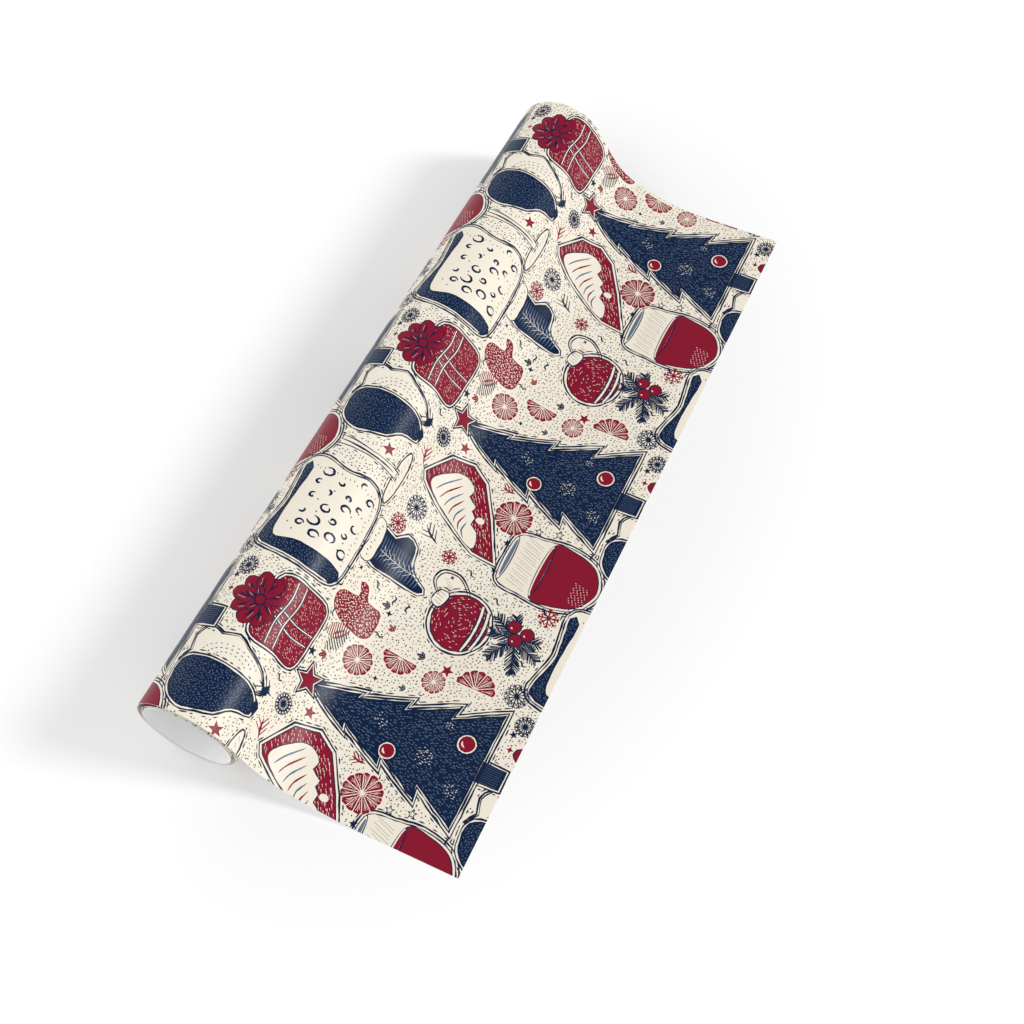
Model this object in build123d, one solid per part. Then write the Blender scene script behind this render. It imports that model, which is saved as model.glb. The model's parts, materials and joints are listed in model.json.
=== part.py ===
"""Coreless roll of printed gift wrap, lying on a table with its free end drawn out flat.

The whole object is one rectangular sheet. Its cross-section is walked as one line, from the free
edge on the table, up the flare and round the roll to the inner end, and every node is a length of
that same line, extruded along the roll. Neighbouring lengths meet face to face.

X runs across the roll towards the free edge, Y along the roll, Z up. The origin is on the table,
in the middle of the object's footprint. Millimetres.
"""

import os
from math import cos, degrees, pi, radians, sin

from build123d import *

# The sheet
sheet_width = 762.0        # 30 in, along the roll
sheet_length = 914.4       # 36 in, from the free edge to the inner end
thickness = 0.6            # stands for one thickness of paper and the air that clings to it

# The roll
roll_radius = 49.6         # middle of the paper where it leaves the roll
turn_gap = 4.4             # each turn lies this much further in than the one outside it
leaving_angle = 29.0       # where the sheet leaves the roll, above the horizontal on the free side
bore_wrap = 290.0          # the last stretch, which lies on one true circle
bore_step = 2.0            # how much further in that circle starts

# The flare, from the roll down to the table
toe_radius = 200.0         # long gentle curve that meets the table
toe_turn = 22.0
throat_radius = 75.0       # tighter curve above it
flat_length = 82.0         # from the toe to the free edge

quarter_step = turn_gap / 4
rise_angle = 90.0 - leaving_angle


def straight(length):
    """A straight stretch."""
    return length, None


def bend(radius, turn):
    """A round stretch that turns left by that many degrees, or right if the turn is negative."""
    return radius * radians(abs(turn)), radius if turn > 0 else -radius


def advance(place, stretch):
    """The place (x, z, heading) at the end of a stretch that starts at the given place."""
    x, z, heading = place
    length, radius = stretch
    if radius is None:
        return x + length * cos(heading), z + length * sin(heading), heading
    turned = heading + length / radius
    return x + radius * (sin(turned) - sin(heading)), z - radius * (cos(turned) - cos(heading)), turned


def beside(place, offset):
    """The point at that distance to the right of the line, in the end plane of the roll."""
    x, z, heading = place
    return Vector(x + offset * sin(heading), -sheet_width / 2, z - offset * cos(heading))


def face_edges(place, stretches, offset):
    """The edges of one face of the paper along the stretches, at that offset from the middle."""
    edges = []
    for length, radius in stretches:
        middle = advance(place, (length / 2, radius))
        end = advance(place, (length, radius))
        first, last = beside(place, offset), beside(end, offset)
        if radius is None:
            edges.append(Edge.make_line(first, last))
        else:
            edges.append(Edge.make_three_point_arc(first, beside(middle, offset), last))
        place = end
    return edges


def paper(place, stretches):
    """A length of the sheet that starts at the place, and the place where it ends."""
    end = place
    for stretch in stretches:
        end = advance(end, stretch)
    half = thickness / 2
    outline = face_edges(place, stretches, half) + face_edges(place, stretches, -half)
    outline.append(Edge.make_line(beside(place, half), beside(place, -half)))
    outline.append(Edge.make_line(beside(end, half), beside(end, -half)))
    solid = Solid.extrude(Face(Wire(outline)), Vector(0, sheet_width, 0))
    return solid, end


def leaving_height():
    """Height of the middle of the paper where it leaves the roll, for a roll that rests on the table.

    The roll's lowest point is on its third quarter, whose centre has moved twice by a quarter step.
    """
    lowest_radius = roll_radius - 2 * quarter_step
    centre_drift = quarter_step * (sin(radians(leaving_angle + 90)) + sin(radians(leaving_angle + 180)))
    axis_height = lowest_radius + thickness / 2 - centre_drift
    return axis_height + roll_radius * sin(radians(leaving_angle))


def flare_stretches():
    """From the table up to the roll: toe, throat, and a straight run as long as the height leaves."""
    toe = bend(toe_radius, -toe_turn)
    throat = bend(throat_radius, toe_turn - rise_angle)
    place = (0.0, thickness / 2, pi)
    for stretch in (toe, throat):
        place = advance(place, stretch)
    left_to_climb = leaving_height() - place[1]
    return [toe, throat, straight(left_to_climb / sin(place[2]))]


def outer_stretches():
    """The outermost turn: four quarters, each with a slightly smaller radius."""
    return [bend(roll_radius - step * quarter_step, 90) for step in range(4)]


def inner_stretches(used):
    """The paper inside the outermost turn, as (up to one full turn, the rest to the inner end).

    used is the length of sheet outside it. The last stretch lies on one circle, so its length and
    the length of the stretch before it follow from the length of sheet that is left.
    """
    first = bend(roll_radius - 4 * quarter_step, 90)
    second_radius = roll_radius - 5 * quarter_step
    bore_radius = second_radius - bore_step
    circle = bend(bore_radius, bore_wrap)
    between = sheet_length - used - first[0] - circle[0]
    turned = 90 + degrees(between / second_radius)
    rest_of_turn = bend(bore_radius, 360 - turned)
    return [first, (between, second_radius), rest_of_turn], [bend(bore_radius, bore_wrap - 360 + turned)]


def length_of(stretches):
    """Length of paper in the stretches."""
    return sum(length for length, _ in stretches)


flat = [straight(flat_length)]
flare = flare_stretches()
outer = outer_stretches()
middle, inner = inner_stretches(length_of(flat + flare + outer))

place = (0.0, thickness / 2, pi)
nodes = {}
lines = {}
for name, stretches in {
    "flat_sheet": flat,
    "flared_sheet": flare,
    "outer_turn": outer,
    "middle_turn": middle,
    "inner_turn": inner,
}.items():
    solid, end = paper(place, stretches)
    nodes[name] = solid
    lines[name] = place
    place = end

# The footprint's middle becomes x = 0
boxes = [solid.bounding_box() for solid in nodes.values()]
to_middle = -(min(box.min.X for box in boxes) + max(box.max.X for box in boxes)) / 2

os.makedirs("parts", exist_ok=True)
for name, solid in nodes.items():
    node = Pos(to_middle, 0, 0) * solid
    node.label = name
    export_step(node, f"parts/{name}.step")

# Where each length starts, with its paper, and the bore's circle, all in the finished frame
for name, (x, z, heading) in lines.items():
    print(f"{name}: starts at x {x + to_middle:.3f} z {z:.3f}, heading {degrees(heading):.3f}")
bore_radius = inner[0][1]
x, z, heading = place
bore_x, bore_z = x + to_middle - bore_radius * sin(heading), z + bore_radius * cos(heading)
print(f"bore: x {bore_x:.3f} z {bore_z:.3f} radius {bore_radius - thickness / 2:.3f}")
print(f"paper used: {length_of(flat + flare + outer + middle + inner):.2f}")
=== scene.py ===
"""Looks of the roll of gift wrap: one printed sheet, drawn flat and then laid along the roll's section.

The print is a tile of flat outlines in inks, cut into triangles together with lines across the
sheet. Copies of the tile cover the flat sheet, u along the roll and v from the free edge, and each
length of it is laid along the same line that the CAD model walks. The print is in millimetres and
the scene in metres.
"""

import json
from math import atan2, ceil, copysign, cos, floor, pi, radians, sin, sqrt

import bpy
import numpy as np
from mathutils import Matrix, Vector
from mathutils.geometry import delaunay_2d_cdt


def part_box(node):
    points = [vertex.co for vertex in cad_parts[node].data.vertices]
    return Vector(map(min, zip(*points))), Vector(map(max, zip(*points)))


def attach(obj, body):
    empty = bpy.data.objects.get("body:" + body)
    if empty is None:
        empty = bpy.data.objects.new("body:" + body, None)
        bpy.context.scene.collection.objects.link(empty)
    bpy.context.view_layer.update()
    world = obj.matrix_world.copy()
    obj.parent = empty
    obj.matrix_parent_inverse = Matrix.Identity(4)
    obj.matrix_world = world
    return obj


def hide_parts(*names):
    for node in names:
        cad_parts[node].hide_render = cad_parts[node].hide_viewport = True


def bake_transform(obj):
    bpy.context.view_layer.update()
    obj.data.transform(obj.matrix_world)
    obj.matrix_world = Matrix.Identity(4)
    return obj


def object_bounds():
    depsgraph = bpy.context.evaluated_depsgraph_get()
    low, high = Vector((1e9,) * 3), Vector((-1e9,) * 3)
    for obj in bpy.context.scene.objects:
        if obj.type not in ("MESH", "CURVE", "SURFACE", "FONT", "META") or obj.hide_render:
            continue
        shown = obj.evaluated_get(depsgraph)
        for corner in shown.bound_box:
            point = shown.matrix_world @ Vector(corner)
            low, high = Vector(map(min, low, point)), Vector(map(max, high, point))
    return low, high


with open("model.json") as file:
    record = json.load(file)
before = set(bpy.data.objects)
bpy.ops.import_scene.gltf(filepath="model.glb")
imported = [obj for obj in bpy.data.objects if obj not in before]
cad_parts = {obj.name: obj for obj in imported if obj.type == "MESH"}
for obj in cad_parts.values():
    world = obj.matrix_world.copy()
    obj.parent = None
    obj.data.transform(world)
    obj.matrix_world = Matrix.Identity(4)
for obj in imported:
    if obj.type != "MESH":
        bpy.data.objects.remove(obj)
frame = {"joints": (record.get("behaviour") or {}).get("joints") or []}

cad_low, cad_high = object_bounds()

MM = 0.001

# ---- outlines ----

TILE = 301.0               # the print repeats after this much, along the roll and across it
CREAM, NAVY, CRIMSON, SLATE, BACK = range(5)
PEN = 1.85                 # how broad the cutter's lines are


def placed(x, y, points):
    """The points, moved by (x, y)."""
    return np.array(points, float) + (x, y)


def set_out(x, y, turn):
    """The point (x, y), and unit vectors that way from it, in degrees, and to the left of that."""
    c, s = cos(radians(turn)), sin(radians(turn))
    return np.array((x, y), float), np.array((c, s)), np.array((-s, c))


def spline(before, start, end, after, step):
    """Points of a smooth line from start to end, about a step apart, without the end itself."""
    a, b, c, d = before, start, end, after
    n = max(2, int(np.linalg.norm(c - b) / step))
    second, third = 2 * a - 5 * b + 4 * c - d, 3 * b - a - 3 * c + d
    return [0.5 * (2 * b + (c - a) * t + second * t**2 + third * t**3) for t in np.arange(n) / n]


def closed_curve(points, step):
    """A closed smooth line through the points, with a point about every step."""
    p = np.array(points, float)
    out = []
    for four in zip(np.roll(p, 1, 0), p, np.roll(p, -1, 0), np.roll(p, -2, 0)):
        out += spline(*four, step)
    return np.array(out)


def open_curve(points, step):
    """A smooth line through the points, with a point about every step."""
    p = np.array(points, float)
    p = np.vstack([2 * p[0] - p[1], p, 2 * p[-1] - p[-2]])
    out = []
    for four in zip(p, p[1:], p[2:], p[3:]):
        out += spline(*four, step)
    return np.array(out + [p[-2]])


def straight_sides(points, step=6.0):
    """A closed outline of straight sides, with a point about every step."""
    p = np.array(points, float)
    out = []
    for a, b in zip(p, np.roll(p, -1, 0)):
        n = max(1, int(np.linalg.norm(b - a) / step))
        out += [a + (b - a) * t for t in np.arange(n) / n]
    return np.array(out)


def ring(x, y, rx, ry=None, sides=None):
    """A circle, or an oval if ry is given."""
    ry = rx if ry is None else ry
    sides = sides or max(8, int(4.84 * sqrt(max(rx, ry))))
    a = np.arange(sides) * 2 * pi / sides
    return np.stack([x + rx * np.cos(a), y + ry * np.sin(a)], 1)


def star(x, y, r, points, inner, turn):
    """A star that reaches out to r and in to that share of r."""
    a = radians(turn) + np.arange(2 * points) * pi / points
    d = np.where(np.arange(2 * points) % 2 == 0, r, r * inner)
    return np.stack([x + d * np.cos(a), y + d * np.sin(a)], 1)


def grown(outline, by):
    """The outline moved outwards by that much, with corners kept from running away."""
    p = np.array(outline, float)
    area = np.sum(p[:, 0] * np.roll(p[:, 1], -1) - np.roll(p[:, 0], -1) * p[:, 1])
    side = np.roll(p, -1, 0) - p
    n = np.stack([side[:, 1], -side[:, 0]], 1) * (1 if area > 0 else -1)
    n /= np.maximum(np.linalg.norm(n, axis=1), 1e-9)[:, None]
    m = n + np.roll(n, 1, 0)
    m /= np.maximum(np.linalg.norm(m, axis=1), 1e-9)[:, None]
    stretch = 1 / np.maximum((m * n).sum(1), 0.55)
    return p + m * (by * stretch)[:, None]


def nine_copies(outline):
    """The outline, and its copies in the eight tiles around."""
    for du in (-TILE, 0.0, TILE):
        for dv in (-TILE, 0.0, TILE):
            yield outline + (du, dv)


def inside(points, outline):
    """Whether each point is inside the outline. A part that the outline goes round twice is outside."""
    x, y = np.array(points, float).T
    a = np.array(outline, float)
    b = np.roll(a, -1, 0)
    hit = np.zeros(len(x), bool)
    for (x0, y0), (x1, y1) in zip(a, b):
        if y0 != y1:
            hit ^= ((y0 > y) != (y1 > y)) & (x < (x1 - x0) * (y - y0) / (y1 - y0) + x0)
    return hit


# ---- the print ----

PRINT_SEED = 7
MARGIN = 1.2               # clear paper between the lines round a motif


class Print:
    """The shapes of one tile, in the order in which they are printed."""

    def __init__(self):
        self.rng = np.random.default_rng(PRINT_SEED)
        self.shapes = []       # (outline, ink), later ones lie over earlier ones
        self.taken = []        # outlines that the background stipple keeps clear of
        self.marks = []        # small stipple marks, laid under everything

    def ink(self, outline, colour, wobble=0.0):
        """A filled outline, shaken by hand if there is a wobble."""
        outline = np.array(outline, float)
        if wobble:
            outline = outline + self.rng.normal(0, wobble, outline.shape)
        self.shapes.append((outline, colour))

    def keep(self, outline, gap):
        """Keeps the background clear of the outline and a gap round it."""
        self.taken.append(grown(outline, gap))

    def motif(self, outline, colour, gap, line=0.8, lines=1, wobble=0.25):
        """A filled shape with a hand-drawn line or two round it, and a broken one outside them."""
        line *= PEN
        self.keep(outline, gap + 3.2)
        self.halo(grown(outline, gap + 1.8))
        out = gap
        for _ in range(lines):
            self.ink(grown(outline, out), NAVY, wobble)
            self.ink(grown(outline, out - line), CREAM, wobble)
            out -= line + MARGIN
        self.ink(outline, colour, wobble)

    def halo(self, outline):
        """A broken line that follows an outline."""
        longest, chance = 8.0, 0.66
        p = np.vstack([outline, outline[:1]])
        along = np.concatenate([[0], np.cumsum(np.linalg.norm(np.diff(p, axis=0), axis=1))])
        s = 0.0
        while s < along[-1]:
            run = self.rng.uniform(0.3, 1.0) * longest
            if self.rng.random() < chance:
                at = np.linspace(s, min(s + run, along[-1]), 2 + int(run / 2.6))
                line = np.stack([np.interp(at, along, p[:, 0]), np.interp(at, along, p[:, 1])], 1)
                self.stroke(line + self.rng.normal(0, 0.3, 2), 0.72, NAVY, smooth=False)
            s += run + self.rng.uniform(0.8, 2.6)

    def stroke(self, points, width, colour, smooth=True, taper=0.25, step=3.0):
        """A line of that width, thinner towards its ends."""
        p = open_curve(points, step) if smooth else np.array(points, float)
        d = np.gradient(p, axis=0)
        d /= np.maximum(np.linalg.norm(d, axis=1), 1e-9)[:, None]
        n = np.stack([-d[:, 1], d[:, 0]], 1)
        t = np.linspace(0, 1, len(p))
        shape = taper + (1 - taper) * np.sin(pi * t) ** 0.6
        w = PEN * width / 2 * shape * self.rng.uniform(0.8, 1.2, len(p))
        left, right = p + n * w[:, None], p - n * w[:, None]
        self.ink(np.vstack([left, right[::-1]]), colour)

    def line(self, start, end, width, colour, taper=0.25):
        """A straight stroke."""
        self.stroke([start, end], width, colour, False, taper)

    def dash(self, x, y, length, width, angle, colour, gouge=False):
        """A short mark: a slim lozenge, or a gouge's cut that starts at a point."""
        c, s = cos(angle), sin(angle)
        a, b = length / 2, PEN * width / 2
        corners = [(-a, -b * 0.3), (a * 0.2, -b), (a, b * 0.3), (-a * 0.2, b)]
        if gouge:
            corners = [(-a, 0), (a, -b), (a * 0.8, b)]
        self.ink([(x + c * i - s * j, y + s * i + c * j) for i, j in corners], colour)

    def flecks(self, outline, colour, spacing, length, width, aim, edge, skip=(), chance=1.0):
        """Short marks spread over the inside of an outline. aim gives a mark's angle at (x, y)."""
        low, high = np.min(outline, 0), np.max(outline, 0)
        xs, ys = np.arange(low[0], high[0], spacing), np.arange(low[1], high[1], spacing * 0.87)
        grid = np.array([(x + (j % 2) * spacing / 2, y) for j, y in enumerate(ys) for x in xs])
        grid += self.rng.uniform(-0.32, 0.32, grid.shape) * spacing
        ok = inside(grid, grown(outline, -edge))
        for other in skip:
            ok &= ~inside(grid, grown(other, edge * 0.6))
        for x, y in grid[ok]:
            if self.rng.random() < chance:
                long = length * self.rng.uniform(0.8, 1.5)
                self.dash(x, y, long, width * 1.25, aim(x, y), colour, gouge=True)

    def background(self):
        """Navy stipple, about 3.5 mm apart, on all the paper that no motif takes."""
        n = int(TILE / 3.5)
        step = TILE / n
        grid = np.array([((i + (j % 2) / 2) * step, j * step) for j in range(n) for i in range(n)])
        grid += self.rng.uniform(-0.36, 0.36, grid.shape) * step
        free = np.ones(len(grid), bool)
        for outline in self.taken:
            for copy in nine_copies(outline):
                near = free & (grid > copy.min(0)).all(1) & (grid < copy.max(0)).all(1)
                if near.any():
                    free[near] = ~inside(grid[near], copy)
        drawn, self.shapes = self.shapes, []
        for x, y in grid[free]:
            long = self.rng.random() < 0.3
            size = self.rng.uniform(0.8, 1.2)
            self.dash(x, y, size * (2.1 if long else 1.35), size * (0.62 if long else 0.85),
                      self.rng.uniform(0, pi), NAVY)
        self.marks, self.shapes = self.shapes, drawn


# ---- motifs ----

def snowflake(p, x, y, r, colour, arms, turn, width):
    """Arms round a point, each with two pairs of barbs."""
    p.keep(ring(x, y, r * 0.8), 1.0)
    for k in range(arms):
        c, u, n = set_out(x, y, turn + k * 360 / arms)
        p.line(c, c + u * r, width, colour, 0.8)
        for at, arm in ((0.5, 0.3), (0.78, 0.22)):
            for side in (-1, 1):
                foot = c + u * r * at
                p.line(foot, foot + (u * 0.75 + n * side) * r * arm, width * 0.85, colour, 0.7)


def citrus(p, x, y, r, start, sweep):
    """The cut face of a citrus fruit, whole or part: a scalloped disc split into veined segments."""
    count = max(6, round((8 + 0.35 * r) * sweep / 360))
    whole = sweep == 360

    def at(t, share):
        a = radians(start + sweep * t / count)
        return np.array((x + r * share * cos(a), y + r * share * sin(a)))

    quarters = np.arange(4 * count + (not whole)) / 4
    rim = [at(t, 0.93 + 0.07 * abs(sin(pi * t))) for t in quarters]
    p.keep(rim, 1.6)
    p.ink(rim, CRIMSON, 0.22)
    for k in range(count):
        if k or whole:
            p.line(at(k, 0.05), at(k + p.rng.normal(0, 0.05), 0.97), 0.6, CREAM, 0.7)
        middle = k + 0.5 + p.rng.normal(0, 0.06)
        p.line(at(middle, 0.34), at(middle, p.rng.uniform(0.84, 0.95)), 0.5, CREAM, 0.4)
        for side in (-0.24, 0.24):
            foot = at(middle, p.rng.uniform(0.45, 0.6))
            p.line(foot, at(middle + side, p.rng.uniform(0.76, 0.9)), 0.42, CREAM, 0.4)
    if whole:
        p.ink(ring(x, y, r * 0.09, sides=7), CREAM)


def small_star(p, x, y, r, colour, turn, hollow=False):
    """A star on its own, whole or cut out in the middle. The smallest have four points."""
    points = 5 if r > 4 else 4
    p.keep(ring(x, y, r), 0.6)
    p.ink(star(x, y, r, points, 0.42, turn), colour)
    if hollow:
        p.ink(star(x, y, r * 0.55, points, 0.45, turn), CREAM)


def fir_tree(p, x, y):
    """A tall fir of four tiers on a trunk, with a star and two baubles."""
    height, half, tiers = 163.0, 57.0, 4
    right = []
    for k in range(tiers):
        low, high = k / tiers, (k + 1) / tiers
        wide = half * (1 - low) ** 0.86 + (1.5 if k else 0)
        notch = half * (1 - high) ** 0.86 * 0.74
        right += [(wide, height * low), (notch, height * high + 2.0)]
    right[-1] = (1.2, height)
    outline = [(x + a, y + b) for a, b in right] + [(x - a, y + b) for a, b in reversed(right)]
    body = straight_sides(outline, 7.0)
    trunk = straight_sides(placed(x, y, [(-9, -23), (9, -23), (10, 0), (-10, 0)]))
    p.motif(trunk, NAVY, gap=2.6)
    p.motif(body, NAVY, gap=5.0, line=0.85, lines=2, wobble=0.3)
    p.ink(trunk, NAVY)
    baubles = [(x + 18, y + 20, 7.6), (x - 17, y + 80, 6.6)]
    rounds = [ring(a, b, r + 2) for a, b, r in baubles]

    def radial(i, j):
        return atan2(y + height + 20 - j, x - i) + p.rng.normal(0, 0.12)

    p.flecks(body, SLATE, 3.1, 2.2, 0.42, radial, skip=rounds, edge=2.0, chance=0.85)
    for i, j, r in ((-8, 48, 9.0), (6, 96, 7.0), (-26, 14, 7.5), (30, 42, 6.0)):
        patch = ring(x + i, y + j, r)
        p.flecks(patch, CREAM, 3.0, 1.3, 0.45, radial, skip=rounds, edge=0.0, chance=0.7)
    for a, b, r in baubles:
        p.ink(ring(a, b, r + 1.1), CREAM, 0.15)
        p.ink(ring(a, b, r), CRIMSON, 0.12)
        glint = [(a - r * 0.5, b + r * 0.1), (a - r * 0.25, b + r * 0.5), (a + r * 0.15, b + r * 0.6)]
        p.stroke(glint, 0.9, CREAM)
    for k in range(9):
        i = x - 8 + 2 * k
        p.line((i, y - 20), (i, y - 4), 0.5, SLATE)
    top = [star(x, y + height + 9, r, 5, 0.44, 90) for r in (13.5, 12.0, 10.6)]
    p.motif(straight_sides(top[0], 5.0), CRIMSON, gap=2.6, line=0.9, wobble=0.15)
    p.ink(top[1], NAVY)
    p.ink(top[2], CRIMSON)


def goblet(p, x, y):
    """A stemmed glass, two thirds full. y is the underside of its foot."""
    bowl = closed_curve(placed(x, y, [
        (0, 76), (24, 88), (33, 115), (31, 140), (26, 168), (0, 172), (-26, 168), (-31, 140), (-33, 115),
        (-24, 88)]), 5)
    stem = straight_sides(placed(x, y, [
        (-3.2, 8), (3.2, 8), (2.4, 40), (4.5, 78), (-4.5, 78), (-2.4, 40)]), 8)
    foot = ring(x, y + 4, 28, 6, 30)
    p.motif(foot, CREAM, gap=1.6, line=1.0)
    p.motif(stem, CREAM, gap=1.1, line=1.0)
    p.motif(bowl, CREAM, gap=3.8, line=0.9, lines=2)
    for k in range(-3, 4):
        p.line((x + k * 6, y + 3 - abs(k) * 0.3), (x + k * 6 + 4, y + 5), 0.8, NAVY)
    p.stroke(placed(x, y, [(0, 12), (-0.6, 45), (0.5, 72)]), 1.0, NAVY)
    fill = closed_curve(placed(x, y, [
        (0, 78), (23, 90), (31.5, 115), (30.5, 134), (0, 137), (-30.5, 134), (-31.5, 115), (-23, 90)]), 5)
    p.ink(fill, NAVY, 0.15)
    p.ink(grown(fill, -1.0), CRIMSON, 0.12)
    p.ink(ring(x, y + 134, 29.5, 4.6, 30), NAVY)
    p.ink(ring(x, y + 134.3, 28.3, 3.4, 30), CREAM)
    p.ink(ring(x, y + 133.6, 27.2, 2.6, 30), CRIMSON)
    p.ink(ring(x, y + 169, 25.5, 4.4, 28), NAVY)
    p.ink(ring(x, y + 169, 24.2, 3.2, 28), CREAM)
    p.ink(ring(x + 0.6, y + 168.4, 21.5, 1.9, 24), SLATE)
    for k in range(17):
        i = x - 27 + 3.1 * k
        ends = [(i, y + 141 + (k % 3)), (i + 6, y + 161 - (k % 2) * 3)]
        p.stroke(ends, 0.6, (NAVY, SLATE)[k % 2], smooth=False)
    for k in range(12):
        i = x - 22 + 1.9 * k
        for j in range(4):
            p.dash(i + j * 0.8, y + 86 + 4 * j + (k % 3), 1.5, 0.4, 1.2, CREAM)


def gift(p, x, y):
    """A wrapped box with a ribbon round it and a bow at its top. (x, y) is its lower left corner."""
    box = closed_curve(placed(x, y, [
        (0, 0), (30, -4), (60, -2), (63, 22), (61, 50), (32, 54), (2, 52), (-1, 26)]), 5)
    p.motif(box, CRIMSON, gap=3.4, line=0.9)
    p.ink(grown(box, 0.5), NAVY)
    p.ink(grown(box, -0.5), CRIMSON)
    p.flecks(box, CREAM, 2.7, 1.5, 0.28, lambda i, j: 0.9, edge=1.6, chance=0.62)
    for points in (placed(x, y, [(22, -2), (19, 20), (25, 40), (30, 56)]),
                   placed(x, y, [(33, -3), (30, 20), (34, 40), (36, 56)]),
                   placed(x, y, [(1, 36), (22, 38), (45, 35), (62, 37)]),
                   placed(x, y, [(1, 27), (22, 29), (45, 26), (62, 28)])):
        p.stroke(points, 1.5, NAVY, taper=0.9)
        p.stroke(points, 0.55, CREAM, taper=0.9)
    for turn, size in ((200, 1.0), (236, 0.8), (300, 0.85), (340, 1.0), (168, 1.05), (128, 1.0),
                       (92, 1.05), (52, 1.0), (14, 1.05), (150, 0.55), (70, 0.6), (30, 0.5)):
        c, u, n = set_out(x + 31, y + 58, turn)
        loop = closed_curve([c, c + (u * 10 + n * 6) * size, c + (u * 21 + n * 5.5) * size,
                             c + u * 25 * size, c + (u * 20 - n * 6.5) * size,
                             c + (u * 9 - n * 4.5) * size], 4)
        p.keep(loop, 2.0)
        p.ink(grown(loop, 0.9), NAVY, 0.25)
        p.ink(loop, CRIMSON, 0.25)
        p.stroke([c + u * 5 * size, c + (u * 12 + n * 1.4) * size, c + u * 20 * size], 1.1, NAVY)
        p.line(c + (u * 7 - n * 2) * size, c + (u * 14 - n * 2.4) * size, 0.7, NAVY)
        p.line(c + (u * 12 + n * 3.4) * size, c + (u * 19 + n * 3) * size, 0.45, CREAM)
    p.ink(ring(*c, 5.4), NAVY)
    p.ink(ring(*c, 4.0), CRIMSON)


def mug(p, x, y):
    """A big mug with curls of steam on its glaze. (x, y) is its lower left corner."""
    body = closed_curve(placed(x, y, [
        (2, 4), (40, -2), (88, 3), (100, 22), (96, 48), (102, 74), (92, 90), (50, 86), (6, 92),
        (-3, 46)]), 5)
    p.motif(body, CREAM, gap=3.2, line=1.0, lines=2)
    p.ink(grown(body, 0.4), NAVY, 0.3)
    p.ink(grown(body, -0.7), CREAM, 0.2)
    side = closed_curve(placed(x, y, [
        (1, 6), (14, 3), (15, 50), (13, 76), (40, 80), (88, 78), (90, 88), (48, 84), (7, 90), (-1, 46)]), 5)
    p.ink(side, NAVY, 0.2)
    p.flecks(side, SLATE, 2.9, 1.5, 0.45, lambda i, j: 0.8, edge=1.6)
    for k in range(16):
        p.dash(x + 20 + 4.3 * k, y + 5 + (k % 3) * 1.2, 3.0, 0.5, 1.2 + 0.1 * (k % 4), NAVY)
        p.dash(x + 91 - (k % 3), y + 12 + 4.2 * k, 2.6, 0.5, 0.2, NAVY)
    for k in range(5):
        for j in range(4):
            cx, cy = x + 26 + 15 * k + 6 * (j % 2), y + 13 + 16.5 * j + 4 * (k % 2)
            cx, cy = cx + p.rng.uniform(-4, 2), cy + p.rng.uniform(-3, 3)
            a = np.radians(p.rng.uniform(0, 360) + np.linspace(0, p.rng.uniform(130, 420), 8))
            r = p.rng.uniform(2.2, 4.8) * np.linspace(1, p.rng.uniform(0.3, 1.0), 8)
            p.stroke(np.stack([cx + r * np.cos(a), cy + r * 1.3 * np.sin(a)], 1), 1.25, NAVY, step=2)
    for k in range(14):
        a = p.rng.uniform(0, pi)
        p.dash(x + 22 + p.rng.uniform(0, 66), y + 12 + p.rng.uniform(0, 60), 2.2, 0.8, a, NAVY)


def ornament(p, x, y, r):
    """A large round bauble with two bands, a cap and a loop of cord."""
    ball = ring(x, y, r, r * 0.94, 40)
    p.motif(ball, NAVY, gap=3.6, line=0.9)
    p.ink(ring(x, y, r - 1.2, (r - 1.2) * 0.94, 40), CRIMSON, 0.12)

    def round_the_ball(i, j):
        return atan2(j - y, i - x) + 1.57

    p.flecks(ring(x, y, r - 2, None, 30), CREAM, 3.0, 2.4, 0.3, round_the_ball, edge=1.0, chance=0.4)
    shade = ring(x + r * 0.25, y - r * 0.1, r * 0.68, None, 30)
    p.flecks(shade, NAVY, 3.4, 2.8, 0.35, round_the_ball, edge=1.0, chance=0.5)
    for low in (-12.0, -19.0):
        a = np.linspace(-0.93, 0.93, 9)
        wide = sqrt(1 - (low / r) ** 2) * r
        line = [(x + wide * t, y + low - 3.4 * (1 - t * t)) for t in a]
        p.stroke(line, 2.7, NAVY, taper=0.9)
        p.stroke(line, 1.2, CREAM, taper=0.9)
    c = (x + r * 0.45, y + r * 0.98)
    cap = closed_curve(placed(*c, [(-8, -4), (6, -8), (8, 1), (-4, 5)]), 3)
    p.motif(cap, CREAM, gap=1.2, line=1.2)
    for k in range(4):
        i = c[0] + 3.4 * k
        p.line((i - 5, c[1] - 4.5), (i - 3.5, c[1] + 2.5), 0.8, NAVY)
    loop = placed(*c, [(2, 2), (14, 12), (27, 8), (30, -8), (20, -22), (13, -26)])
    p.keep(loop, 3.0)
    p.stroke(loop, 1.0, NAVY)
    inner = [(i * 0.86 + (c[0] + 12) * 0.14, j * 0.86 + (c[1] - 7) * 0.14) for i, j in loop]
    p.stroke(inner, 0.7, NAVY)
    for k in range(6):
        ends = placed(*c, [(8 + 2.6 * k, 3.0 * k - 16), (12 + 1.6 * k, 1.4 * k - 4)])
        p.stroke(ends, 0.6, CRIMSON, smooth=False)


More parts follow.
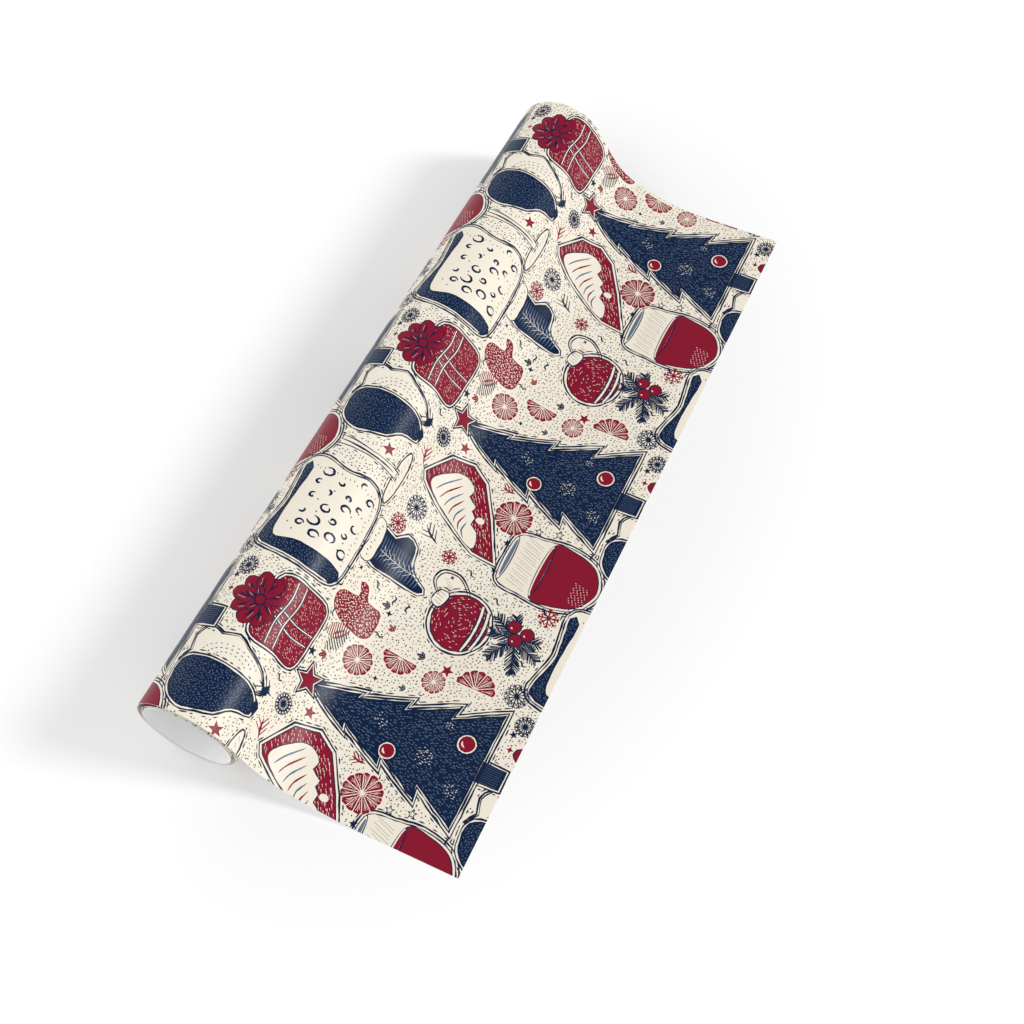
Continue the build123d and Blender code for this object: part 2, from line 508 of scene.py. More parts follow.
def needles(p, x, y, length, turn):
    """A sprig of pine: a stalk with needles raked forward on both sides."""
    reach = 9.0
    c, u, n = set_out(x, y, turn)
    p.keep([c - n * reach * 0.6, c + u * length * 0.6 - n * reach * 0.9, c + u * (length + 4),
            c + u * length * 0.6 + n * reach * 0.9, c + n * reach * 0.6], 0.5)
    p.line(c, c + u * length, 1.1, NAVY, 0.6)
    count = int(length / 1.45)
    for k in range(count):
        t = (k + 0.5) / count
        size = reach * (0.55 + 0.6 * sin(pi * min(1, t * 0.9 + 0.12)))
        for side in (-1, 1):
            way = u * p.rng.uniform(0.6, 0.95) + n * side * 0.75
            foot = c + u * length * t
            tip = foot + way / np.linalg.norm(way) * size * p.rng.uniform(0.8, 1.1)
            p.line(foot, tip, 1.0, NAVY, 0.5)


def pine_berries(p, x, y):
    """Sprigs of pine round three berries."""
    for turn, length in ((150, 28), (200, 32), (245, 27), (280, 20), (95, 20), (60, 25), (20, 20)):
        c, u, _ = set_out(x, y, turn)
        needles(p, *(c + 3 * u), length, turn)
    for i, j in ((-1, -1), (11, 5), (8, -9)):
        p.ink(ring(x + i, y + j, 7.0, sides=18), NAVY)
        p.ink(ring(x + i, y + j, 5.9, sides=18), CRIMSON)
        p.dash(x + i - 2, y + j + 2.2, 2.6, 0.9, 0.7, CREAM)


def wedge(p, x, y):
    """A slice of layered cake seen from its side and back."""
    outline = placed(x, y, [(0, 2), (40, 24), (70, 44), (80, 62), (73, 84), (42, 103), (36, 98), (1, 24)])
    body = straight_sides(outline, 8)
    p.motif(body, CRIMSON, gap=3.8)
    p.ink(grown(body, 0.5), NAVY)
    p.ink(grown(body, -0.5), CRIMSON)
    p.flecks(body, CREAM, 3.0, 3.4, 0.26, lambda i, j: 0.62, edge=1.8, chance=0.6)
    cream = closed_curve(placed(x, y, [
        (3, 27), (20, 29), (25, 38), (33, 37), (38, 43), (44, 42), (50, 52), (58, 50), (66, 62), (61, 76),
        (38, 92), (18, 58)]), 4)
    p.ink(grown(cream, 0.8), NAVY, 0.15)
    p.ink(cream, CREAM, 0.15)
    p.ink(ring(x + 33, y + 31.5, 3.4, 4.4, 10), CREAM)
    for k in range(7):
        t = k / 6
        a = (x + 9 + 27 * t, y + 38 + 46 * t)
        b = (x + 25 + 37 * t, y + 42 + 24 * t)
        mid = ((a[0] + b[0]) / 2 - 2, (a[1] + b[1]) / 2 + 3)
        p.stroke([a, mid, b], 0.85, CRIMSON if k % 2 else SLATE)


def stocking(p, x, y):
    """A ribbed stocking with a cream cuff and a sprig on it."""
    body = closed_curve(placed(x, y, [
        (0, 0), (-1, 30), (-2, 60), (30, 62), (32, 44), (42, 34), (38, 22), (22, 18), (12, 10),
        (6, -2)]), 5)
    p.motif(body, NAVY, gap=2.6, line=0.7)
    for k in range(16):
        j = y + 6 + 3.4 * k
        a, b = x + 2, x + 28 - (10 if j < y + 14 else 0)
        p.stroke([(a, j), ((a + b) / 2, j - 1.2), (b, j + 0.5)], 0.6, SLATE)
    cuff = closed_curve(placed(x, y, [(-4, 58), (14, 56), (33, 60), (34, 72), (14, 70), (-5, 71)]), 4)
    p.motif(cuff, CREAM, gap=0.9, line=0.9)
    for k in range(9):
        p.dash(x - 1 + 3.9 * k, y + 64 + (k % 2) * 2, 3.0, 0.7, 1.3, NAVY)
    for k in range(6):
        u = y + 14 + 6 * k
        p.line((x + 13, u), (x + 7, u + 6), 0.8, CREAM)
        p.line((x + 13, u), (x + 19, u + 6), 0.8, CREAM)
    p.line((x + 13, y + 10), (x + 13, y + 52), 0.9, CREAM)


def pudding(p, x, y):
    """A round pudding, dark below, with a wavy cream top and two leaves."""
    dark = closed_curve(placed(x, y, [
        (-34, 6), (-37, 22), (-24, 40), (2, 42), (10, 20), (8, -20), (-2, -36), (-12, -38), (-18, -20),
        (-29, -8)]), 5)
    top = closed_curve(placed(x, y, [
        (8, -36), (22, -26), (32, -6), (38, 6), (34, 20), (38, 32), (26, 42), (12, 38), (2, 44), (-2, 20),
        (4, -10)]), 5)
    p.motif(top, CREAM, gap=2.4, line=0.9)
    p.ink(grown(top, 0.3), NAVY, 0.25)
    p.ink(grown(top, -0.7), CREAM, 0.2)
    p.motif(dark, NAVY, gap=2.6)
    p.flecks(dark, SLATE, 2.7, 1.4, 0.42, lambda i, j: 0.8 if int(i + j) % 2 else -0.8, edge=1.8)
    for row, reach in enumerate((9.0, 12.5, 16.0)):
        for k in range(9 + 2 * row):
            a = -1.0 + 2.3 * k / (8 + 2 * row)
            p.dash(x + 12 + reach * cos(a), y + 2 + 1.7 * reach * sin(a), 2.6, 0.6, a + 1.57,
                   NAVY if row == 1 else SLATE)
    for turn in (200, 340):
        leaf = np.radians(turn) + np.array((0, 0.5, 0, -0.5))
        far = np.array((1.5, 9.0, 17.0, 9.0))
        p.ink(np.stack([x + 4 + far * np.cos(leaf), y - 36 + far * np.sin(leaf)], 1), NAVY, 0.3)


def mitten(p, x, y):
    """A knitted mitten in a close lattice."""
    shape = closed_curve(placed(x, y, [
        (-14, -20), (12, -20), (15, -4), (27, 4), (26, 13), (14, 8), (8, 26), (-4, 31), (-13, 22),
        (-17, 0)]), 4)
    p.keep(shape, 3.0)
    p.ink(shape, CRIMSON, 0.25)
    p.flecks(shape, CREAM, 2.8, 2.0, 0.5, lambda i, j: 0.9 if int(i / 3 + j / 3) % 2 else 2.3, edge=1.0)


def leaf_pair(p, x, y):
    """Two striped leaves, one navy and one crimson."""
    for colour, turn, size in ((NAVY, 150, 30), (CRIMSON, 118, 27)):
        c, u, n = set_out(x, y, turn)
        p.keep([c, c + u * size * 0.5 + n * 7, c + u * size, c + u * size * 0.5 - n * 7], 1.0)
        for k in range(11):
            t = (k + 0.5) / 11
            wide = 7.5 * sin(pi * t) ** 0.8
            foot = c + u * size * t
            p.line(foot - n * wide, foot + n * wide + u * 2.5, 1.25, colour, 0.5)


def twig(p, x, y, size, turn, colour):
    """A stalk with a few leaves."""
    c, u, n = set_out(x, y, turn)
    p.keep(ring(x + u[0] * size / 2, y + u[1] * size / 2, size * 0.5), 0.5)
    p.stroke([c, c + u * size * 0.5 + n, c + u * size], 1.15, colour)
    for at, side, share in (
            (0.2, -1, 0.36), (0.3, 1, 0.42), (0.45, -1, 0.42), (0.62, 1, 0.34), (0.75, -1, 0.3)):
        foot = c + u * size * at
        way = (u * 0.95 + n * side * 0.85) * size * share
        p.line(foot, foot + way, 1.0, colour, 0.6)
        p.line(foot + way * 0.45, foot + way * 1.2, 2.9, colour, 0.15)


def sprig(p, x, y, size, turn, colour):
    """Three small leaves fanned out from one point."""
    for fan, share in ((-38, 0.8), (0, 1.0), (38, 0.8)):
        foot, u, n = set_out(x, y, turn + fan)
        tip, side = foot + u * size * share, n * size * share * 0.2
        half = (tip + foot) / 2
        leaf = closed_curve([foot, half - side, tip, half + side], 2.5)
        p.keep(leaf, 1.4)
        p.ink(leaf, colour, 0.15)
        p.line(foot * 0.8 + tip * 0.2, foot * 0.25 + tip * 0.75, 0.4, CREAM)


def squiggle(p, x, y, turn):
    """A short wavy line."""
    c, u, n = set_out(x, y, turn)
    p.stroke([c, c + u * 3.5 + n * 2.2, c + u * 7.0 - n * 1.0, c + u * 10.0], 0.9, NAVY)


def draw_tile():
    """One tile of the print: the big motifs, then what fills the spaces between them."""
    p = Print()
    goblet(p, 292, 226 - TILE)
    pudding(p, 44, 272)
    mug(p, 168, 228)
    fir_tree(p, 91, 26)
    gift(p, 88, 222)
    wedge(p, 280, 102)
    ornament(p, 211, 104, 29.0)
    stocking(p, 217, 151)
    mitten(p, 168, 190)
    pine_berries(p, 218, 52)
    leaf_pair(p, 150, 186)
    small_motifs = (
        (citrus, (31, 107, 18.5, 0, 360), (133, 168, 14.5, 0, 360), (158, 63, 19, -90, 180),
         (149, 99, 11, 0, 360), (156, 135, 16.5, 90, 180)),
        (snowflake, (168, 26, 12, NAVY, 12, 5, 0.8), (250, 33, 10, CRIMSON, 8, 10, 1.0),
         (60, 208, 10, NAVY, 16, 0, 0.7), (287, 193, 12.5, NAVY, 14, 8, 0.7),
         (262, 202, 10, CRIMSON, 10, 0, 0.9), (265, 142, 7.5, CRIMSON, 8, 20, 0.9),
         (145, 7, 10, NAVY, 14, 12, 0.7)),
        (twig, (270, 158, 19, 60, NAVY), (57, 224, 20, 80, NAVY), (55, 117, 13, 86, CRIMSON),
         (22, 212, 18, 20, CRIMSON)),
        (small_star, (164, 93, 6.6, CRIMSON, 60), (69, 181, 6.6, CRIMSON, 80), (5, 254, 7.4, CRIMSON, 100),
         (4, 101, 4.4, NAVY, 90), (274, 100, 3.6, NAVY, 70), (113, 211, 5.5, NAVY, 20),
         (187, 41, 4.6, NAVY, 45), (186, 164, 3.6, NAVY, 10), (194, 224, 3.2, NAVY, 0),
         (120, 10, 3.6, CRIMSON, 0), (134, 13, 4.4, NAVY, 30), (203, 212, 3.0, NAVY, 50),
         (127, 146, 3.0, NAVY, 15), (248, 130, 2.6, NAVY, 40), (33, 60, 5.2, NAVY, 80, True),
         (28, 79, 5.2, NAVY, 80, True)),
        (squiggle, (195, 150, 20), (204, 168, 200), (181, 222, 160), (198, 30, 80), (252, 34, 60),
         (247, 88, 250), (20, 20, 30), (165, 158, 100), (262, 122, 250), (200, 182, 60), (150, 210, 40),
         (74, 222, 80)),
        (sprig, (192, 166, 9, 100, NAVY), (166, 116, 9, 90, NAVY), (131, 118, 7, 90, NAVY),
         (120, 196, 9, 130, CRIMSON), (174, 152, 8, 60, CRIMSON)),
    )
    for motif, *places in small_motifs:
        for place in places:
            motif(p, *place)
    p.background()
    return p


# ---- the flat print, cut into triangles ----

SHEET_WIDTH = 762.0        # along the roll
SHEET_LENGTH = 914.4       # from the free edge to the inner end
ROWS = 100                 # lines across the sheet in one tile, about 3 mm apart
COLUMNS = 6                # lines along the sheet in one tile
UNIT = 1e-4                # points closer than this are one point
PIECE_ENDS = (0.0, 170.0, 352.0, 537.7, 652.0, 788.0, SHEET_LENGTH)    # of its six lengths


def inked_outlines(art):
    """Every outline that shows in the tile, with its ink, lowest first, also those of its neighbours."""
    for outline, colour in art.marks + art.shapes:
        for copy in nine_copies(outline):
            if (copy.max(0) > 0).all() and (copy.min(0) < TILE).all():
                yield copy, colour


def wound(points, outline):
    """Whether the outline goes round each point, for an outline that may cross itself."""
    x, y = points.T
    turns = np.zeros(len(x), int)
    for (x0, y0), (x1, y1) in zip(outline, np.roll(outline, -1, 0)):
        side = (x1 - x0) * (y - y0) - (x - x0) * (y1 - y0)
        turns += (y0 <= y) & (y < y1) & (side > 0)
        turns -= (y1 <= y) & (y < y0) & (side < 0)
    return turns != 0


def cut_lines():
    """The ends of the lines that cross one tile, which reach a little past its sides."""
    near, far = -2.0, TILE + 2.0
    rows = {round(k * TILE / ROWS, 4) for k in range(ROWS + 1)} | {round(v % TILE, 4) for v in PIECE_ENDS}
    columns = {round(k * TILE / COLUMNS, 4) for k in range(COLUMNS + 1)} | {round(SHEET_WIDTH % TILE, 4)}
    return ([((near, v), (far, v)) for v in sorted(rows)]
            + [((u, near), (u, far)) for u in sorted(columns)])


def triangulated(points, edges):
    """Points, triangles that turn left, and where each given point went."""
    got, _, faces, origins, _, _ = delaunay_2d_cdt([Vector(p) for p in points], edges, [], 0, UNIT, True)
    got = np.array([tuple(p) for p in got])
    faces = np.array(faces)
    a, b, c = got[faces[:, 0]], got[faces[:, 1]], got[faces[:, 2]]
    area = (b[:, 0] - a[:, 0]) * (c[:, 1] - a[:, 1]) - (c[:, 0] - a[:, 0]) * (b[:, 1] - a[:, 1])
    faces[area < 0] = faces[area < 0][:, ::-1]
    place = {old: new for new, olds in enumerate(origins) for old in olds}
    return got, faces[np.abs(area) > 1e-9], place


def cut_tile(art):
    """One tile of the print: whole-number points, triangles and the ink of each."""
    outlines = list(inked_outlines(art))
    points, edges = [], []
    for outline, _ in outlines:
        first, count = len(points), len(outline)
        points += list(outline)
        edges += [(first + k, first + (k + 1) % count) for k in range(count)]
    for ends in cut_lines():
        edges.append((len(points), len(points) + 1))
        points += ends
    got, faces, _ = triangulated(points, edges)
    middle = got[faces].mean(1)
    kept = ((middle > 0) & (middle < TILE)).all(1)
    faces, middle = faces[kept], middle[kept]
    order = np.argsort(middle[:, 0])
    faces, middle = faces[order], middle[order]
    ink = np.full(len(faces), CREAM)
    for outline, colour in outlines:
        low, high = outline.min(0), outline.max(0)
        first, last = np.searchsorted(middle[:, 0], (low[0], high[0]))
        near = first + np.nonzero((middle[first:last, 1] > low[1]) & (middle[first:last, 1] < high[1]))[0]
        ink[near[wound(middle[near], outline)]] = colour
    whole = np.rint(got / UNIT).astype(int)
    snap_far_sides(whole)
    return whole, faces, ink


def snap_far_sides(whole):
    """Points on the tile's far sides take the places of their twins on its near sides."""
    size = round(TILE / UNIT)
    slack = 200                # units
    for axis in (0, 1):
        near = np.sort(whole[np.abs(whole[:, axis]) < slack, 1 - axis])
        for edge in (0, size):
            on = np.abs(whole[:, axis] - edge) < slack
            whole[on, axis] = edge
            if edge:
                at = np.clip(np.searchsorted(near, whole[on, 1 - axis]), 1, len(near) - 1)
                low, high = near[at - 1], near[at]
                value = whole[on, 1 - axis]
                twin = np.where(value - low < high - value, low, high)
                whole[on, 1 - axis] = np.where(np.abs(twin - value) < slack, twin, value)


def flat_print(tile, v_from, v_to):
    """Points, triangles and inks of the sheet from v_from to v_to, out of copies of the tile."""
    whole, faces, ink = tile
    size = round(TILE / UNIT)
    middle = whole[faces].mean(1) * UNIT
    points, triangles, inks, count = [], [], [], 0
    for i in range(ceil(SHEET_WIDTH / TILE)):
        for j in range(ceil(SHEET_LENGTH / TILE)):
            u, v = middle[:, 0] + i * TILE, middle[:, 1] + j * TILE
            on = (u < SHEET_WIDTH) & (v > v_from) & (v < v_to)
            if on.any():
                points.append(whole + (i * size, j * size))
                triangles.append(faces[on] + count)
                inks.append(ink[on])
                count += len(whole)
    points, triangles, inks = np.vstack(points), np.vstack(triangles), np.concatenate(inks)
    points, back = np.unique(points, axis=0, return_inverse=True)
    triangles = back.ravel()[triangles]
    distinct = ((triangles[:, 0] != triangles[:, 1]) & (triangles[:, 1] != triangles[:, 2])
                & (triangles[:, 0] != triangles[:, 2]))
    triangles, inks = triangles[distinct], inks[distinct]
    used, back = np.unique(triangles, return_inverse=True)
    return points[used] * UNIT, back.reshape(-1, 3), inks


def border_edges(triangles):
    """Edges that only one triangle uses, in that triangle's direction."""
    edges = np.concatenate([triangles[:, [0, 1]], triangles[:, [1, 2]], triangles[:, [2, 0]]])
    _, where, uses = np.unique(np.sort(edges, axis=1), axis=0, return_index=True, return_counts=True)
    return edges[where[uses == 1]]


def flat_back(points, border, v_from, v_to):
    """The unprinted side over the same border: points, triangles and the place of each border point."""
    names = np.unique(border)
    number = {int(n): k for k, n in enumerate(names)}
    given = points[names]
    edges = [(number[int(a)], number[int(b)]) for a, b in border]
    step = TILE / ROWS
    for v in np.arange(floor(v_from / step) + 1, ceil(v_to / step)) * step:
        edges.append(tuple(int(np.abs(given - (u, v)).sum(1).argmin()) for u in (0.0, SHEET_WIDTH)))
    got, faces, place = triangulated(given, edges)
    return got, faces, {n: place[k] for n, k in number.items()}


# ---- the line of the section ----

ROLL_RADIUS = 49.6 * MM        # middle of the paper where it leaves the roll
TURN_GAP = 4.4 * MM            # each turn lies this much further in than the one outside it
QUARTER_TURNS = 5              # each tighter than the one before, ahead of the even last stretches
LEAVING_ANGLE = 29.0           # where the sheet leaves the roll, above the horizontal on the free side
BORE_WRAP = 290.0              # the last stretch, which lies on one true circle
BORE_STEP = 2.0 * MM           # how much further in that circle starts
TOE_RADIUS, TOE_TURN = 200.0 * MM, 22.0    # the first rise from the table
THROAT_RADIUS = 75.0 * MM      # the steeper rise after it
FLAT_LENGTH = 82.0 * MM
CAD_THICKNESS = 0.6 * MM
PAPER_THICKNESS = 0.3 * MM


def bend(radius, turn):
    """A round stretch (length, radius) that turns left by that many degrees, or right if negative."""
    return radius * radians(abs(turn)), copysign(radius, turn)


def walked(place, stretch, length):
    """Place (x, z, heading) after that much of the stretch. length may be an array."""
    x, z, heading = place
    _, radius = stretch
    if radius is None:
        return x + length * cos(heading), z + length * sin(heading), heading + 0 * length
    turned = heading + length / radius
    across = radius * (np.sin(turned) - sin(heading))
    down = radius * (np.cos(turned) - cos(heading))
    return x + across, z - down, turned


def section():
    """The stretches from the free edge to the inner end, each with the place where it starts."""
    quarter = TURN_GAP / 4
    start = (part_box("flat_sheet")[1].x, CAD_THICKNESS / 2, pi)
    leaving = frame_joint("flare_lift")
    height = leaving.z - CAD_THICKNESS / 2 * cos(radians(90 - LEAVING_ANGLE))
    rise = 90.0 - LEAVING_ANGLE
    stretches = [(FLAT_LENGTH, None), bend(TOE_RADIUS, -TOE_TURN), bend(THROAT_RADIUS, TOE_TURN - rise)]
    place = start
    for stretch in stretches:
        place = walked(place, stretch, stretch[0])
    stretches.append(((height - place[1]) / sin(place[2]), None))
    stretches += [bend(ROLL_RADIUS - k * quarter, 90) for k in range(QUARTER_TURNS)]
    inner = ROLL_RADIUS - QUARTER_TURNS * quarter
    bore = inner - BORE_STEP
    left = SHEET_LENGTH * MM - sum(s[0] for s in stretches) - bend(bore, BORE_WRAP)[0]
    stretches += [(left, inner), bend(bore, BORE_WRAP)]
    places = [start]
    for stretch in stretches[:-1]:
        places.append(walked(places[-1], stretch, stretch[0]))
    return list(zip(stretches, places))


def frame_joint(name):
    """Where that joint's axis is, in metres."""
    for joint in frame["joints"]:
        if joint["name"] == name:
            return Vector(joint["pos_m"])
    raise KeyError(name)


def laid(flat, line, offset):
    """Flat (u, v) points laid along the section at that offset from it, and the way the print faces."""
    u, v = flat[:, 0] * MM, flat[:, 1] * MM
    x, z, heading = np.zeros(len(v)), np.zeros(len(v)), np.zeros(len(v))
    done = 0.0
    for k, (stretch, place) in enumerate(line):
        last = k == len(line) - 1
        on = (v >= done) & ((v < done + stretch[0]) | last)
        x[on], z[on], heading[on] = walked(place, stretch, v[on] - done)
        done += stretch[0]
    out = np.stack([np.sin(heading), 0 * heading, -np.cos(heading)], 1)
    near_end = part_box("outer_turn")[0].y
    return np.stack([x, near_end + u, z], 1) + out * offset, out


# ---- materials ----

def fill(tree, socket, value):
    """Links the socket to another node's output, or gives it a fixed value."""
    if isinstance(value, bpy.types.NodeSocket):
        tree.links.new(value, socket)
    else:
        socket.default_value = value


def node(tree, kind, *inputs, **values):
    """A new shader node. Names set its properties or fill its inputs, and the rest fill inputs in order."""
    made = tree.nodes.new(kind)
    for name, value in values.items():
        if hasattr(made, name):
            setattr(made, name, value)
        else:
            fill(tree, made.inputs[name.replace("_", " ")], value)
    for socket, value in zip(made.inputs, inputs):
        fill(tree, socket, value)
    return made


def new_material(name, **values):
    """A material, its node tree, and its shader with those inputs filled."""
    material = bpy.data.materials.new(name)
    material.use_nodes = True
    shader = next(n for n in material.node_tree.nodes if n.type == "BSDF_PRINCIPLED")
    for socket, value in values.items():
        shader.inputs[socket.replace("_", " ")].default_value = value
    return material, material.node_tree, shader


def paper_material(name, colour, roughness, gloss_level):
    """Smooth gift wrap: faint fibres and slow waves in the surface, and an uneven gloss."""
    material, tree, shader = new_material(name, Base_Color=(*colour, 1), Specular_IOR_Level=gloss_level)
    flat = node(tree, "ShaderNodeUVMap", uv_map="flat").outputs["UV"]
    drawn_out = node(tree, "ShaderNodeMapping", Vector=flat, Scale=(1.0, 0.45, 1.0)).outputs["Vector"]
    fibres = node(tree, "ShaderNodeTexNoise", Vector=drawn_out, Scale=1400.0, Detail=4.0, Roughness=0.65)
    fibres = fibres.outputs["Fac"]
    waves = node(tree, "ShaderNodeTexNoise", Vector=flat, Scale=22.0, Detail=3.0, Roughness=0.5)
    waves = waves.outputs["Fac"]
    gloss = node(tree, "ShaderNodeMapRange", Value=fibres, To_Min=roughness - 0.09, To_Max=roughness + 0.09)
    fine = node(tree, "ShaderNodeBump", Height=fibres, Strength=0.10, Distance=0.0001)
    broad = node(tree, "ShaderNodeBump", Height=waves, Strength=0.12, Distance=0.004,
                 Normal=fine.outputs["Normal"])
    fill(tree, shader.inputs["Roughness"], gloss.outputs["Result"])
    fill(tree, shader.inputs["Normal"], broad.outputs["Normal"])
    return material


def srgb(red, green, blue):
    """Linear colour from screen values of 0 to 255."""
    return tuple(((c / 255 + 0.055) / 1.055) ** 2.4 if c > 10 else c / 3294.6 for c in (red, green, blue))


def sheet_materials():
    """Materials in the order of the inks, then the unprinted back."""
    return [
        paper_material("paper_cream_ground", srgb(233, 225, 209), 0.38, 0.14),
        paper_material("ink_navy", srgb(5, 29, 61), 0.34, 0.14),
        paper_material("ink_crimson", srgb(131, 15, 42), 0.34, 0.14),
        paper_material("ink_slate", srgb(92, 110, 134), 0.36, 0.14),
        paper_material("paper_white_back", srgb(252, 252, 252), 0.60, 0.10),
    ]


# ---- pieces ----

def added(name, data):
    """A new object in the scene."""
    made = bpy.data.objects.new(name, data)
    bpy.context.collection.objects.link(made)
    return made


def sheet_mesh(name, tile, line, v_from, v_to, materials):
    """A closed length of the sheet: printed side, unprinted side and the paper's edge all round."""
    flat, triangles, inks = flat_print(tile, v_from, v_to)
    border = border_edges(triangles)
    behind, behind_triangles, twin = flat_back(flat, border, v_from, v_to)
    front, front_out = laid(flat, line, PAPER_THICKNESS / 2)
    back, back_out = laid(behind, line, -PAPER_THICKNESS / 2)
    count = len(front)
    faces = [tuple(t) for t in triangles] + [tuple(t[::-1] + count) for t in behind_triangles]
    rim = [(b, a, twin[a] + count, twin[b] + count) for a, b in border.tolist()]
    mesh = bpy.data.meshes.new(name)
    mesh.from_pydata(np.vstack([front, back]).tolist(), [], faces + rim)
    for material in materials:
        mesh.materials.append(material)
    slots = np.concatenate([inks, np.full(len(behind_triangles) + len(rim), BACK)])
    mesh.polygons.foreach_set("material_index", slots.astype(np.int32))
    mesh.polygons.foreach_set("use_smooth", np.ones(len(slots), bool))
    corner = np.empty(len(mesh.loops), np.int32)
    mesh.loops.foreach_get("vertex_index", corner)
    every = np.vstack([flat, behind]) * MM
    mesh.uv_layers.new(name="flat").data.foreach_set("uv", every[corner].astype(np.float32).ravel())
    mesh.update()
    out = np.vstack([front_out, -back_out])[corner]
    sides = 3 * (len(triangles) + len(behind_triangles))
    flat_normals = np.array([p.normal for p in mesh.polygons[len(faces):]])
    out[sides:] = np.repeat(flat_normals, 4, axis=0)
    mesh.normals_split_custom_set(out.tolist())
    return added(name, mesh)


LIFT_BEND = (-0.010, 0.070)     # where the bend starts and ends along x, from free_end_lift's axis
FLARE_BEND = (-0.004, 0.036)    # the same from flare_lift's axis


def pieces_plan():
    """For each length of the sheet: name, nodes it stands for, body, body it bends to, bend, hold, rests.

    The bend is where along x it starts and ends.
    """
    hinge, crease = frame_joint("flare_lift"), frame_joint("free_end_lift")
    left, right = (corner.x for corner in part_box("outer_turn"))
    lift = [crease.x + reach for reach in LIFT_BEND]
    flare = [hinge.x + reach for reach in FLARE_BEND]
    half_turn = [left + share * (right - left) for share in (0.25, 0.75)]
    return (
        ("printed_free_end", ("flat_sheet", "flared_sheet"), "flare", "free_end", lift, "laid", []),
        ("printed_roll_top", ("flared_sheet", "outer_turn"), "roll", "flare", flare, "folded",
         ["printed_second_turn_top"]),
        ("printed_roll_underside", ("outer_turn",), "roll", "middle", half_turn, "folded", []),
        ("printed_second_turn_top", ("middle_turn",), "middle", None, None, "folded",
         ["printed_inner_end"]),
        ("printed_second_turn_underside", ("middle_turn",), "middle", "inner", half_turn, "folded",
         ["printed_roll_underside"]),
        ("printed_inner_end", ("inner_turn",), "inner", None, None, "folded",
         ["printed_second_turn_underside"]),
    )


def build_roll():
    """The six lengths of the printed sheet. Those with no body to bend to are tied to their body; the rest
    stay fixed where they are laid.
    """
    line = section()
    tile = cut_tile(draw_tile())
    materials = sheet_materials()
    for plan, v_from, v_to in zip(pieces_plan(), PIECE_ENDS, PIECE_ENDS[1:]):
        name, nodes, body, bent_body, reach, held, rests = plan
        piece = sheet_mesh(name, tile, line, v_from, v_to, materials)
        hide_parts(*nodes)
        if bent_body:
            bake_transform(piece)
        else:
            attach(piece, body)


# ---- floor, light and camera ----

FLOOR_HALF = 60.0
FLOOR_GLOW = 0.33          # far from the roll
FLOOR_GLOW_IN_PAINTED_SHADE = 0.245          # the glow beside the roll, lower there as painted shade
PAINTED_SHADE_REACH = 0.19           # how far the painted shade on the floor reaches past the roll


def make_floor():
    """A pale floor that glows a little, and less beside the roll: painted shade round it."""
    mesh = bpy.data.meshes.new("floor")
    corners = [(x * FLOOR_HALF, y * FLOOR_HALF, 0) for x, y in ((-1, -1), (1, -1), (1, 1), (-1, 1))]
    mesh.from_pydata(corners, [], [(0, 1, 2, 3)])
    material, tree, shader = new_material("pale_floor", Base_Color=(0.65, 0.65, 0.65, 1), Roughness=0.9,
                                          Specular_IOR_Level=0.0, Emission_Color=(1, 1, 1, 1))
    half, middle = (cad_high - cad_low) / 2, (cad_high + cad_low) / 2
    per_x, per_y = 1 / (half.x + PAINTED_SHADE_REACH), 1 / (half.y + PAINTED_SHADE_REACH)
    # painted shade: the floor's glow drops towards the roll, darkest beside it
    where = node(tree, "ShaderNodeNewGeometry").outputs["Position"]
    shape = node(tree, "ShaderNodeMapping", Vector=where, Scale=(per_x, per_y, 1),
                 Location=(-middle.x * per_x, -middle.y * per_y, 0)).outputs["Vector"]
    painted_shade_weight = node(tree, "ShaderNodeTexGradient", Vector=shape, gradient_type="SPHERICAL").outputs["Fac"]
    glow_less_painted_shade = node(tree, "ShaderNodeMapRange", interpolation_type="SMOOTHSTEP", Value=painted_shade_weight,
                From_Max=0.5, To_Min=FLOOR_GLOW, To_Max=FLOOR_GLOW_IN_PAINTED_SHADE)
    fill(tree, shader.inputs["Emission Strength"], glow_less_painted_shade.outputs["Result"])
    mesh.materials.append(material)
    added("floor", mesh)


KEY_FROM = (4.84, 1.98, 3.14)   # the way to the light, from the free side and the far end
KEY_STRENGTH = 2.06
KEY_SOFTNESS = 15.8        # how wide the light looks, in degrees
SKY_LEVEL = 1.045          # on the level, between the slope's two sides
SKY_SLOPE = (-0.60, -0.48, -0.48)   # how much the sky's level rises towards +x, +y and +z
SKY_LEAST = 0.2
HORIZON = (0.10, 0.22)     # the sky is white up to the first height and as it is above the second


def key_light():
    """A wide, soft, distant light from the free side."""
    data = bpy.data.lights.new("key", "SUN")
    data.energy = KEY_STRENGTH
    data.angle = radians(KEY_SOFTNESS)
    added("key", data).rotation_euler = Vector(KEY_FROM).to_track_quat("Z", "Y").to_euler()


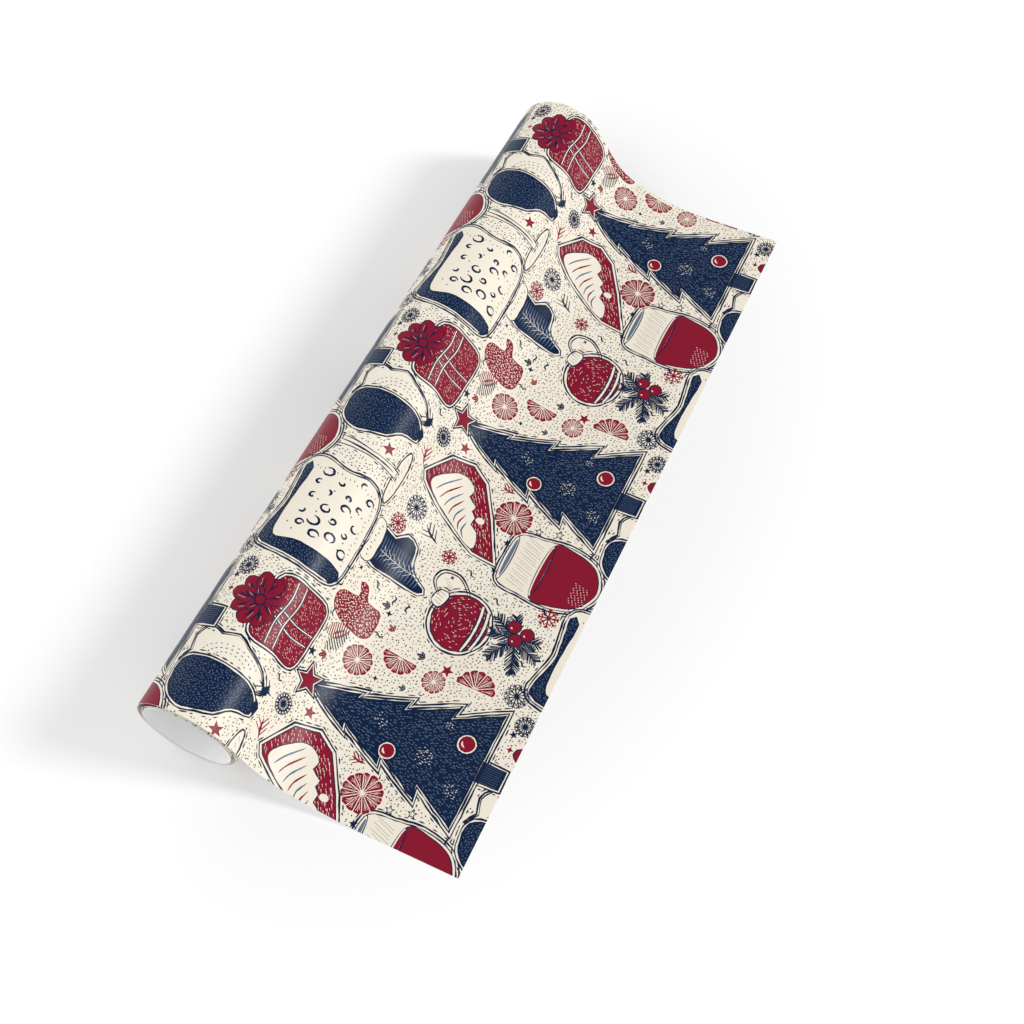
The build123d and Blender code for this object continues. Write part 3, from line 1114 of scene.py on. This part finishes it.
def make_sky():
    """A white sky that is brighter behind the roll and low down, and even near the horizon."""
    world = bpy.data.worlds.new("studio")
    bpy.context.scene.world = world
    world.use_nodes = True
    tree = world.node_tree
    background = next(n for n in tree.nodes if n.type == "BACKGROUND")
    background.inputs["Color"].default_value = (1, 1, 1, 1)
    way = node(tree, "ShaderNodeTexCoord").outputs["Generated"]
    slope = node(tree, "ShaderNodeVectorMath", way, SKY_SLOPE, operation="DOT_PRODUCT").outputs["Value"]
    level = node(tree, "ShaderNodeMath", slope, SKY_LEVEL, operation="ADD").outputs["Value"]
    sky = node(tree, "ShaderNodeMath", level, SKY_LEAST, operation="MAXIMUM").outputs["Value"]
    up = node(tree, "ShaderNodeSeparateXYZ", way).outputs["Z"]
    height = node(tree, "ShaderNodeMath", up, operation="ABSOLUTE").outputs["Value"]
    horizon = node(tree, "ShaderNodeMapRange", height, *HORIZON, 1.0, 0.0, interpolation_type="SMOOTHSTEP")
    brighter = node(tree, "ShaderNodeMath", horizon.outputs["Result"], sky, operation="MAXIMUM")
    fill(tree, background.inputs["Strength"], brighter.outputs["Value"])


CAMERA_AZIMUTH, CAMERA_ELEVATION, CAMERA_ROLL = 27.1, 58.75, -1.93
CAMERA_TARGET = (0.0464, -0.0586, 0.030)
CAMERA_DISTANCE = 1.348
CAMERA_LENS = 51.1


def add_camera():
    """The photograph's view: from the near end, high above the free side."""
    azimuth, elevation = radians(CAMERA_AZIMUTH), radians(CAMERA_ELEVATION)
    back = Vector((sin(azimuth) * cos(elevation), -cos(azimuth) * cos(elevation),
                   sin(elevation)))
    data = bpy.data.cameras.new("camera")
    data.lens = CAMERA_LENS
    data.clip_start, data.clip_end = 0.01, 50.0
    camera = added("camera", data)
    turn = (-back).to_track_quat("-Z", "Y").to_matrix() @ Matrix.Rotation(radians(CAMERA_ROLL), 3, "Z")
    place = Vector(CAMERA_TARGET) + back * CAMERA_DISTANCE
    camera.matrix_world = Matrix.Translation(place) @ turn.to_4x4()
    bpy.context.scene.camera = camera


add_camera()
build_roll()
make_floor()
make_sky()
key_light()
bpy.context.scene.view_settings.view_transform = "Standard"
